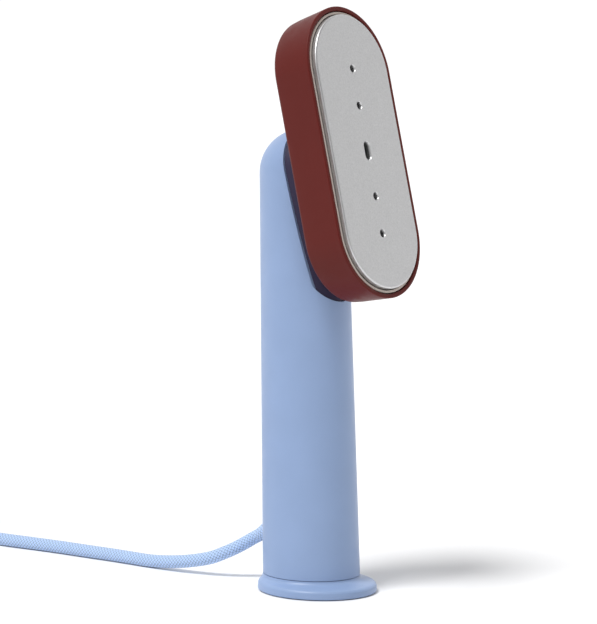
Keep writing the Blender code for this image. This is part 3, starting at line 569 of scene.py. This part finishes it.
def earth_jacket():
    """Yellow wire with its green stripe."""
    yellow, green = (0.75, 0.62, 0.03), (0.03, 0.3, 0.06)
    look = Look("earth_jacket", yellow, 0.4)
    stripe = look.node("ShaderNodeTexWave", Vector=look.place, Scale=60.0, Distortion=0.5)
    ramp = look.node("ShaderNodeValToRGB", Fac=stripe.outputs[1])
    for stop, at, colour in zip(ramp.color_ramp.elements, (0.45, 0.55), (yellow, green)):
        stop.position = at
        stop.color = (*colour, 1)
    look.feed(ramp.outputs[0], look.shader.inputs["Base Color"])
    look.rough(look.noise(500.0), 0.32, 0.5)
    return look.material


# ---------------------------------------------------------------- cord, coil, tie and plug

# Route from the strain relief to the coil, in millimetres
CORD_ROUTE = (
    (-0.6, 37.0, 20.6), (-2.4, 40.8, 17.9), (-5.0, 45.1, 15.0), (-7.5, 50.4, 12.1),
    (-9.9, 57.4, 9.0), (-12.0, 68.8, 6.2), (-13.6, 80.8, 4.4), (-14.7, 93.4, 3.4),
    (-15.3, 106.0, 3.35), (-16.0, 119.0, 3.35), (-17.4, 132.7, 3.35), (-19.1, 152.5, 3.35),
    (-21.2, 168.0, 3.35), (-23.8, 185.0, 3.35), (-25.2, 196.0, 3.35), (-31.3, 217.7, 3.4),
    (-41.8, 238.1, 4.2),
)
# The same from the coil's top turn into the plug, from the coil's centre
TAIL_ROUTE = (
    (15.5, 26.8, 18.2), (26.8, 15.5, 18.9), (31.0, 0.0, 20.8), (28.2, -14.2, 23.2),
    (20.2, -26.2, 25.8), (8.2, -34.2, 28.4), (-6.0, -37.0, 30.6), (-20.2, -34.2, 32.2),
    (-32.2, -26.2, 32.8), (-40.2, -14.2, 32.8), (-43.0, 0.0, 32.8), (-40.8, 11.1, 32.8),
    (-35.2, 19.8, 32.8), (-28.5, 25.1, 32.8), (-22.0, 27.9, 32.8), (-17.0, 28.8, 32.8),
    (-14.0, 29.0, 32.8),
)
# (column, layer) of each turn, from the outer bottom one
WINDING = ((0, 0), (1, 0), (2, 0), (2, 1), (1, 1), (0, 1), (0, 2), (1, 2), (2, 2))
# Where the turns step over to the next column or layer, in turns
FIRST_STEP = 0.76
STEP_LEAD = 0.88
STEP_WIDTH = 0.36
WINDING_START = math.radians(210)
POINTS_PER_TURN = 12
WINDING_POINTS = 89
PLUG_HALF_HEIGHT = 11.0 * MM
PLUG_AXIS_Z = COIL_BASE + CORD_D * COIL_LAYERS + GAP + PLUG_HALF_HEIGHT
PLUG_START = COIL_CENTRE + Vector((-13.4 * MM, 29.0 * MM, PLUG_AXIS_Z))
PLUG_MATRIX = Matrix.Translation(PLUG_START) @ Matrix.Rotation(RIGHT, 4, "Y")
PIN_SPACING = 19.0 * MM
STRAP_THICK = 1.1 * MM
STRAP_HALF = 6.0 * MM
STRAP_CORNER = 3.0 * MM


def ease(x):
    """Smooth step from 0 to 1."""
    x = min(1.0, max(0.0, x))
    return x * x * (3 - 2 * x)


def winding_point(turns):
    """Point of the wound cord after a number of turns, clockwise seen from above."""
    column, layer = WINDING[0]
    for k, (a, b) in enumerate(zip(WINDING, WINDING[1:])):
        step = ease((turns - FIRST_STEP - STEP_LEAD * k) / STEP_WIDTH + 0.5)
        column += (b[0] - a[0]) * step
        layer += (b[1] - a[1]) * step
    height = COIL_BASE + CORD_D * (layer + 0.5)
    radius = COIL_MID_R + CORD_D * (1 - column)
    angle = WINDING_START - 2 * math.pi * turns
    return COIL_CENTRE + Vector((radius * math.cos(angle), radius * math.sin(angle), height))


def make_cord(look):
    """The cord from its strain relief along the floor, round the coil and into its plug."""
    boot_axis = (BOOT_MATRIX.to_3x3() @ Vector((0, 0, 1))).normalized()
    start = BOOT_EXIT + boot_axis * (BOOT_OUT + GAP)
    route = [start, *(Vector(p) * MM for p in CORD_ROUTE)]
    wound = [winding_point(k / POINTS_PER_TURN) for k in range(WINDING_POINTS)]
    tail = [COIL_CENTRE + Vector(p) * MM for p in TAIL_ROUTE]
    path = curve_through(route + wound + tail, 3.0 * MM)
    cord = tube("mains_cord", path, [CORD_D / 2] * len(path))
    dress(cord, look, "handle", "blue_textile_braid", "cord_tube", "cord_coil", "cord_tail")
    return cord, start, path


def strap_stations(outer, inner, low, high):
    """Corner centre and outward direction, in Y and Z, at points round the wound cord."""
    left, right = inner + STRAP_CORNER, outer - STRAP_CORNER
    bottom, top = low + STRAP_CORNER, high - STRAP_CORNER
    stations = []
    for y, z, start in ((right, top, 0), (left, top, 90), (left, bottom, 180),
                        (right, bottom, 270)):
        for k in range(7):
            a = math.radians(start + 15 * k)
            stations.append((y, z, math.cos(a), math.sin(a)))
    return stations


def strap_band(stations):
    """A flat band with rounded edges, closed round the stations."""
    half, edge, inset = STRAP_HALF, 0.3 * MM, 0.2 * MM
    section = ((-half, 0.3), (-half, 0.8), (-half + edge, 1.0), (half - edge, 1.0),
               (half, 0.8), (half, 0.3), (half - inset, 0.05), (-half + inset, 0.05))
    reaches = [(x, STRAP_CORNER - inset + STRAP_THICK * out) for x, out in section]
    bm = bmesh.new()
    rings = [[bm.verts.new((x, -(y + out_y * reach), z + out_z * reach)) for x, reach in reaches]
             for y, z, out_y, out_z in stations]
    for a, b in zip(rings, rings[1:] + rings[:1]):
        for j in range(len(section)):
            n = (j + 1) % len(section)
            bm.faces.new((a[j], a[n], b[n], b[j]))
    bmesh.ops.translate(bm, vec=COIL_CENTRE, verts=bm.verts)
    return from_bmesh("tie_strap", bm)


def make_tie(look):
    """Strap round the coil, with its free end lapped over."""
    outer = COIL_MID_R + CORD_D * COIL_COLUMNS / 2 + GAP
    inner = COIL_MID_R - CORD_D * COIL_COLUMNS / 2 - STRAP_THICK
    low, high = COIL_BASE - GAP, COIL_BASE + CORD_D * COIL_LAYERS + GAP
    tie = strap_band(strap_stations(outer, inner, low, high))
    dress(tie, look, "handle", "dark_blue_webbing", "cord_tie")
    lap_at = Vector((0, -(outer + STRAP_THICK + 0.1 * MM), (low + high) / 2))
    lap = block("tie_lap", (10.4 * MM, 0.5 * MM, 9 * MM), COIL_CENTRE + lap_at)
    soften(lap, 0.2 * MM)
    dress(lap, look, "handle", "dark_blue_webbing")
    return tie, lap


def make_sleeve(look):
    """The plug's ribbed boot, tapering onto the cord."""
    ribs = []
    for k in range(5):
        z, r = 12.0 - 2.3 * k, 5.9 - 0.32 * k
        ribs += [(r, z), (r, z - 1.2), (r - 0.7, z - 1.35), (r - 0.7, z - 2.1)]
    profile = in_mm((0, 13.6), (6.0, 13.6), *ribs, (3.9, 0.3), (3.7, 0), (0, 0))
    boot = revolve("plug_sleeve", profile, 64, PLUG_MATRIX)
    soften(boot, 0.15 * MM, 2)
    return dress(boot, look, "handle", "white_plastic", "plug_boot")


def make_plug(plastic, metal):
    """Two-pin plug with a ribbed boot and a grip waist."""
    pieces = [make_sleeve(plastic)]
    body = in_mm((0, 41.0), (9.9, 41.0), (10.6, 40.7), (11.0, 40.0), (11.0, 33), (10.6, 31.5),
                 (9.3, 24), (8.9, 20), (8.6, 15.6), (8.0, 14.4), (7.0, 14.0), (0, 14.0))
    case = racetrack("plug_case", body, 7.0 * MM, 32, PLUG_MATRIX)
    pieces.append(case)
    contact = in_mm((0, 60.0), (1.3, 60.0), (2.0, 59.6), (2.4, 58.8), (2.4, 50), (2.4, 34.0),
                    (0, 34.0))
    for number, side in enumerate((-0.5, 0.5), 1):
        pin_at = PLUG_MATRIX @ Matrix.Translation((0, side * PIN_SPACING, 0))
        combine(case, revolve("bore", plain(2.7 * MM, 45 * MM, 33.6 * MM), 32, pin_at))
        pin = revolve(f"contact_pin_{number}", contact, 40, pin_at)
        pieces.append(dress(pin, metal, "handle", "nickel_plated_brass", f"plug_pin_{number}"))
    for k in range(4):
        for side in (-1, 1):
            centre = (side * 9.3 * MM, 0, (18.5 + 3.2 * k) * MM)
            combine(case, block("groove", (1.2 * MM, 22 * MM, 1.1 * MM), centre, PLUG_MATRIX))
    soften(case, 0.25 * MM, 2, 50)
    dress(case, plastic, "handle", "white_plastic", "plug_body")
    return pieces


# ---------------------------------------------------------------- handle

def handle_radius(z):
    return HANDLE_R0 + (HANDLE_R1 - HANDLE_R0) * z / HANDLE_LENGTH


def domed(inset, bottom, rows=24):
    """Profile from the dome down the tapered side to the bottom."""
    dome = [(max(0.0, math.sin(a)) * (HANDLE_R1 - inset),
             HANDLE_LENGTH + math.cos(a) * (HANDLE_R1 - inset))
            for a in (RIGHT * k / rows for k in range(1, rows + 1))]
    side = [(handle_radius(z) - inset, z) for z in
            (HANDLE_LENGTH * k / 8 for k in range(7, 0, -1)) if z > bottom + 5 * MM]
    return dome + side + [(handle_radius(bottom) - inset, bottom)]


def domed_solid(name, inset, bottom):
    """The handle's form as a closed solid, moved in by inset."""
    bm = bmesh.new()
    angles = circle(144)
    rings = [[bm.verts.new((r * math.cos(a), r * math.sin(a), z)) for a in angles]
             for r, z in domed(inset, bottom)]
    skin(bm, rings)
    pole = bm.verts.new((0, 0, HANDLE_LENGTH + HANDLE_R1 - inset))
    for first, second in zip(rings[0], rings[0][1:] + rings[0][:1]):
        bm.faces.new((pole, first, second))
    return from_bmesh(name, bm, HANDLE_MATRIX)


def seat_outline(shrink):
    """The head's seat in the handle: a round lower end, and past the handle elsewhere."""
    end_r, wide = SEAT_END_R - shrink, 30 * MM
    arc = [(end_r * math.cos(a), SEAT_END_V + end_r * math.sin(a))
           for a in (math.radians(180 + 3 * k) for k in range(61))]
    return arc + [(wide, SEAT_END_V + 16 * MM), (wide, 50 * MM), (-wide, 50 * MM),
                  (-wide, SEAT_END_V + 16 * MM)]


def make_handle(look):
    shell = domed_solid("handle_shell", 0.0, -4 * MM)
    combine(shell, block("below", (0.12, 0.12, 0.04), (0, 0, SEAM_Z - 0.02)))
    combine(shell, domed_solid("hollow", WALL, -8 * MM))
    bore = plain(5.5 * MM, 15 * MM, -6.5 * MM)
    combine(shell, revolve("boot_hole", bore, 64, BOOT_MATRIX))
    for radius, height in ((POWER_R + GAP, POWER_Z), (1.8 * MM, LIGHT_Z)):
        hole = plain(radius, 30 * MM, 10 * MM)
        combine(shell, revolve("hole", hole, 64, on_back(height)))
    hole = plain(STEAM_R + GAP, 30 * MM, 10 * MM)
    combine(shell, racetrack("hole", hole, STEAM_STRAIGHT, 24, on_back(STEAM_Z)))
    combine(shell, prism("seat", seat_outline(0.0), -SEAT_DEPTH, 30 * MM, HEAD_MATRIX))
    soften(shell, 0.2 * MM, 3, 40)
    dress(shell, look, "handle", "light_blue_plastic", "body_shell")


def passage(bottom):
    """Cutter for the way through from the handle to the head, for the hose and wires."""
    return racetrack("slot", plain(7 * MM, -16 * MM, bottom), 10 * MM, 24, on_head(-12 * MM))


def neck_solid(name, inset, top, bottom, shrink):
    """The handle's form between two depths behind the head's face, inside the seat."""
    form = domed_solid(name, inset, 90 * MM)
    return combine(form, prism("slab", seat_outline(shrink), -bottom, -top, HEAD_MATRIX),
                   "INTERSECT")


def make_neck(look):
    # The neck's dark blue is partly its own colour and partly painted shade for the shaded pocket
    # between the handle and the head.
    neck = neck_solid("neck_cover", 0.8 * MM, HEAD_DEPTH + GAP, SEAT_DEPTH - GAP, 0.4 * MM)
    core = neck_solid("core", 4.6 * MM, HEAD_DEPTH + 2.8 * MM, SEAT_DEPTH + 8 * MM, 4.8 * MM)
    combine(neck, core)
    combine(neck, passage(-40 * MM))
    soften(neck, 0.3 * MM, 2, 40)
    dress(neck, look, "handle", "dark_blue_plastic", "neck")


def make_boot(collar_look, braid_look):
    """Strain relief: the braid runs up a tapered sleeve into a collar in the wall."""
    profile = in_mm((0, 2.2), (4.6, 2.2), (4.85, 2.05), (5.0, 1.7), (5.2, 0.0), (5.2, -8.9),
                    (7.0, -8.9), (7.0, -10.5), (0, -10.5))
    collar = revolve("cord_collar", profile, 64, BOOT_MATRIX)
    dress(collar, collar_look, "handle", "light_blue_plastic", "strain_relief")
    axis = BOOT_MATRIX.to_3x3() @ Vector((0, 0, 1))
    wide, start, steps = 4.5 * MM, 1.7 * MM, 12
    reach = BOOT_OUT + GAP - start
    path = [BOOT_EXIT + axis * (start + reach * k / steps) for k in range(steps + 1)]
    radii = [wide + (CORD_D / 2 - wide) * ease(k / steps) for k in range(steps + 1)]
    sleeve = tube("braided_sleeve", path, radii, 32)
    dress(sleeve, braid_look, "handle", "blue_textile_braid")


def make_buttons(power_look, steam_look, light_look):
    """The two keys, dished for a fingertip and held in by their flanges, and the light."""
    power = in_mm((0, 22.6), (1.5, 22.62), (2.8, 22.72), (3.5, 22.9), (3.9, 22.85),
                  (4.3, 22.6), (4.5, 22.2), (4.5, 18.9), (5.9, 18.9), (5.9, 17.4),
                  (1.8, 17.4), (1.8, 15.8), (0, 15.8))
    key = revolve("power_key_cap", power, 64, on_back(POWER_Z))
    dress(key, power_look, "power_key", "light_blue_plastic", "power_button")
    steam = in_mm((0, 22.3), (2.0, 22.32), (3.6, 22.45), (4.4, 22.66), (4.9, 22.66),
                  (5.35, 22.4), (5.6, 21.9), (5.6, 17.9), (6.8, 17.9), (6.8, 16.7),
                  (1.8, 16.7), (1.8, 15.8), (0, 15.8))
    key = racetrack("steam_key_cap", steam, STEAM_STRAIGHT, 32, on_back(STEAM_Z))
    dress(key, steam_look, "steam_key", "dark_blue_plastic", "steam_button")
    lens = in_mm((0, 22.35), (0.8, 22.3), (1.3, 22.1), (1.5, 21.8), (1.5, 14.4), (0, 14.4))
    light = revolve("light_lens", lens, 40, on_back(LIGHT_Z))
    dress(light, light_look, "handle", "clear_plastic", "light_pipe")


# ---------------------------------------------------------------- foot and tank

def flare_solid():
    """The foot's flare, down from the seam; its rings move forward as they widen."""
    rings = ((24.0, 0.0, 7.9), (24.25, -0.15, 7.0), (25.0, -0.8, 6.1), (26.6, -2.1, 5.4),
             (28.3, -3.35, 4.75), (29.05, -3.75, 3.95), (29.3, -3.85, 3.0), (29.3, -3.85, 0.8),
             (28.95, -3.85, 0.45))
    fine = curve_through([Vector(r) for r in rings], 0.22)
    angles = circle(160)
    bm = bmesh.new()
    loops = [[bm.verts.new((r * MM * math.cos(a), (y + r * math.sin(a)) * MM, z * MM))
              for a in angles] for r, y, z in fine]
    skin(bm, loops)
    bm.faces.new(loops[0])
    return from_bmesh("foot_flare", bm)


def make_foot(look):
    """The flare, the boss that holds the tank and its seal, and the recess for the sole."""
    foot = flare_solid()
    boss = in_mm((0, 3.2), (20.6, 3.2), (20.6, 2.6), (19.7, 2.6), (19.7, 1.0), (20.6, 1.0),
                 (20.6, -3.0), (0, -3.0))
    combine(foot, revolve("boss", boss, 96, HANDLE_MATRIX), "UNION")
    recess = plain(25.3 * MM, 1.4 * MM, -5 * MM)
    combine(foot, revolve("recess", recess, 96, Matrix.Translation((0, FOOT_Y, 0))))
    dress(foot, look, "tank_unit", "light_blue_plastic", "foot")


def make_pad(look):
    """The rubber sole, with ring-shaped treads."""
    treads = []
    for k in range(7):
        r = 23.2 - 3.2 * k
        treads += [(r, 0.0), (r - 0.3, 0.35), (r - 0.9, 0.35), (r - 1.2, 0.0)]
    profile = in_mm((0, 1.1), (25.0, 1.1), (25.0, 0.4), (24.6, 0), *treads, (0, 0))
    pad = revolve("tread_pad", profile, 96, Matrix.Translation((0, FOOT_Y, 0)))
    dress(pad, look, "tank_unit", "rubber", "foot_pad")


# ---------------------------------------------------------------- head

def shell_inner(depth):
    """Inner radius of the cup's ends at a depth behind the rim."""
    return HEAD_R - RIM - (HEAD_R - HEAD_R_BACK) * depth / HEAD_DEPTH


def make_head(look):
    """The burgundy cup, its wall thinning to a rounded rim and its back edge rounded."""
    floor, edge, lip = HEAD_DEPTH - 2.5 * MM, 2.6 * MM, 0.6 * MM
    back = [(HEAD_R_BACK - edge + edge * math.cos(a), -HEAD_DEPTH + edge - edge * math.sin(a))
            for a in (RIGHT * k / 10 for k in range(11))]
    rim = [(HEAD_R - lip + lip * math.sin(a), -lip + lip * math.cos(a))
           for a in (RIGHT * k / 5 for k in range(6))]
    side = [(HEAD_R + (HEAD_R_BACK - HEAD_R) * k / 4, -HEAD_DEPTH * k / 4) for k in (1, 2, 3)]
    profile = [(0, -floor), (shell_inner(floor) - 1.0 * MM, -floor),
               (shell_inner(floor), -floor + 1.0 * MM), (shell_inner(0), -0.5 * MM),
               (shell_inner(0) + 0.15 * MM, -0.15 * MM), (shell_inner(0) + 0.5 * MM, 0),
               *rim, *side, *back, (0, -HEAD_DEPTH)]
    shell = racetrack("head_cup", profile, HEAD_STRAIGHT, 64, HEAD_MATRIX)
    combine(shell, passage(-30 * MM))
    dress(shell, look, "handle", "burgundy_plastic", "head_shell")


def make_gasket(look):
    profile = in_mm((29.6, -0.85), (29.6, -3.6), (28.3, -3.6), (28.3, -0.85), (28.4, -0.55),
                    (28.65, -0.4), (29.25, -0.4), (29.5, -0.55))
    ring = racetrack("gasket", profile, HEAD_STRAIGHT, 64, HEAD_MATRIX)
    dress(ring, look, "handle", "beige_silicone", "seal_ring")


def make_plate(look):
    """The soleplate with its rounded edge, countersunk steam holes and steam chamber."""
    face, round_r = PLATE_PROUD, 0.95 * MM
    edge = [(PLATE_R - round_r + round_r * math.sin(a), face - round_r + round_r * math.cos(a))
            for a in (RIGHT * k / 8 for k in range(9))]
    profile = [(0, face), *edge, (PLATE_R, -2.7 * MM), (25.4 * MM, -2.7 * MM),
               (25.4 * MM, -10.5 * MM), (0, -10.5 * MM)]
    plate = racetrack("sole_plate", profile, HEAD_STRAIGHT, 64, HEAD_MATRIX)
    chamber = plain(12 * MM, -2.8 * MM, -15 * MM)
    combine(plate, racetrack("chamber", chamber, 34 * MM, 32, HEAD_MATRIX))
    sink = [(0, face + 1 * MM), (3.0 * MM, face + 1 * MM),
            (1.9 * MM, face - 0.3 * MM), (1.75 * MM, face - 0.8 * MM),
            (1.65 * MM, face - 1.5 * MM), (1.65 * MM, -5 * MM), (0, -5 * MM)]
    for v in HOLES_V:
        combine(plate, revolve("hole", sink, 48, on_head(v)))
    slot = [(r + 0.35 * MM if r else 0, z) for r, z in sink]
    combine(plate, racetrack("slot", slot, 2.3 * MM, 24, HEAD_MATRIX))
    dress(plate, look, "handle", "brushed_aluminium", "soleplate", smooth=30)


# ---------------------------------------------------------------- CAD nodes that stay

def finish_nodes(looks):
    """Better materials for the nodes whose CAD shape is shown."""
    for node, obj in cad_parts.items():
        look = looks.get(node)
        if look is None:
            continue
        obj.data.materials.clear()
        obj.data.materials.append(look)


make_camera()
make_floor()
make_light()

BLUE = moulded_plastic("satin_light_blue", (0.268, 0.37, 0.585), 0.4, gloss=0.4)
# Dark blue plastic. On the neck its very dark tone is partly the plastic's own colour and partly
# painted shade, standing for the shade in the pocket behind the head.
NAVY = moulded_plastic("satin_dark_blue", (0.039, 0.033, 0.07), 0.5, gloss=0.2)
BURGUNDY = moulded_plastic("satin_burgundy", (0.112, 0.0145, 0.0115), 0.45, gloss=0.14)
GREY = moulded_plastic("grey_engineering_plastic", (0.3, 0.3, 0.31), 0.5)
BLACK = moulded_plastic("black_heat_plastic", (0.025, 0.025, 0.027), 0.5)
IVORY = moulded_plastic("white_glossy_plastic", (0.72, 0.73, 0.75), 0.32)
ALUMINIUM = blasted_aluminium()
STEEL = brushed_steel("brushed_steel")
BEIGE = soft_rubber("beige_silicone_rubber", (0.55, 0.48, 0.43))
SILICONE = soft_rubber("milky_silicone", (0.68, 0.68, 0.66), 0.45)
RUBBER = soft_rubber("black_rubber", (0.04, 0.04, 0.045), 0.75)
CLEAR = clear_plastic()
BOARD = circuit_laminate()
BRAID = braid("light_blue_braid", (0.37, 0.5, 0.74), 10, 1.9 * MM)
STRAP = webbing("dark_blue_strap", (0.05, 0.075, 0.17))
LIVE = wire_jacket("brown_jacket", (0.15, 0.06, 0.03))
NEUTRAL = wire_jacket("blue_jacket", (0.04, 0.1, 0.4))
EARTH = earth_jacket()
NICKEL = brushed_steel("nickel_plate")

cord, cord_exit, cord_path = make_cord(BRAID)
tie, lap = make_tie(STRAP)
plug_pieces = make_plug(IVORY, NICKEL)

make_handle(BLUE)
make_neck(NAVY)
make_boot(BLUE, BRAID)
make_buttons(BLUE, NAVY, CLEAR)
make_foot(BLUE)
make_pad(RUBBER)
make_head(BURGUNDY)
make_gasket(BEIGE)
make_plate(ALUMINIUM)
finish_nodes({
    "neck_screw_1": STEEL, "neck_screw_2": STEEL, "insulating_frame": BLACK,
    "heating_element": STEEL, "chamber_cover": STEEL, "cover_screw_1": STEEL,
    "cover_screw_2": STEEL, "thermostat": IVORY, "thermal_fuse": IVORY,
    "delivery_hose": SILICONE, "pump_body": GREY, "pump_yoke": STEEL, "chassis": GREY,
    "circuit_board": BOARD, "power_switch": BLACK, "steam_switch": BLACK, "triac": BLACK,
    "dip_tube": CLEAR, "inlet_strainer": IVORY, "wire_live": LIVE, "wire_neutral": NEUTRAL,
    "wire_earth": EARTH, "heater_wire_live": LIVE, "heater_wire_neutral": NEUTRAL,
    "tank": CLEAR, "foot_seal": SILICONE, "tank_lid": NAVY, "tube_grommet": SILICONE,
})
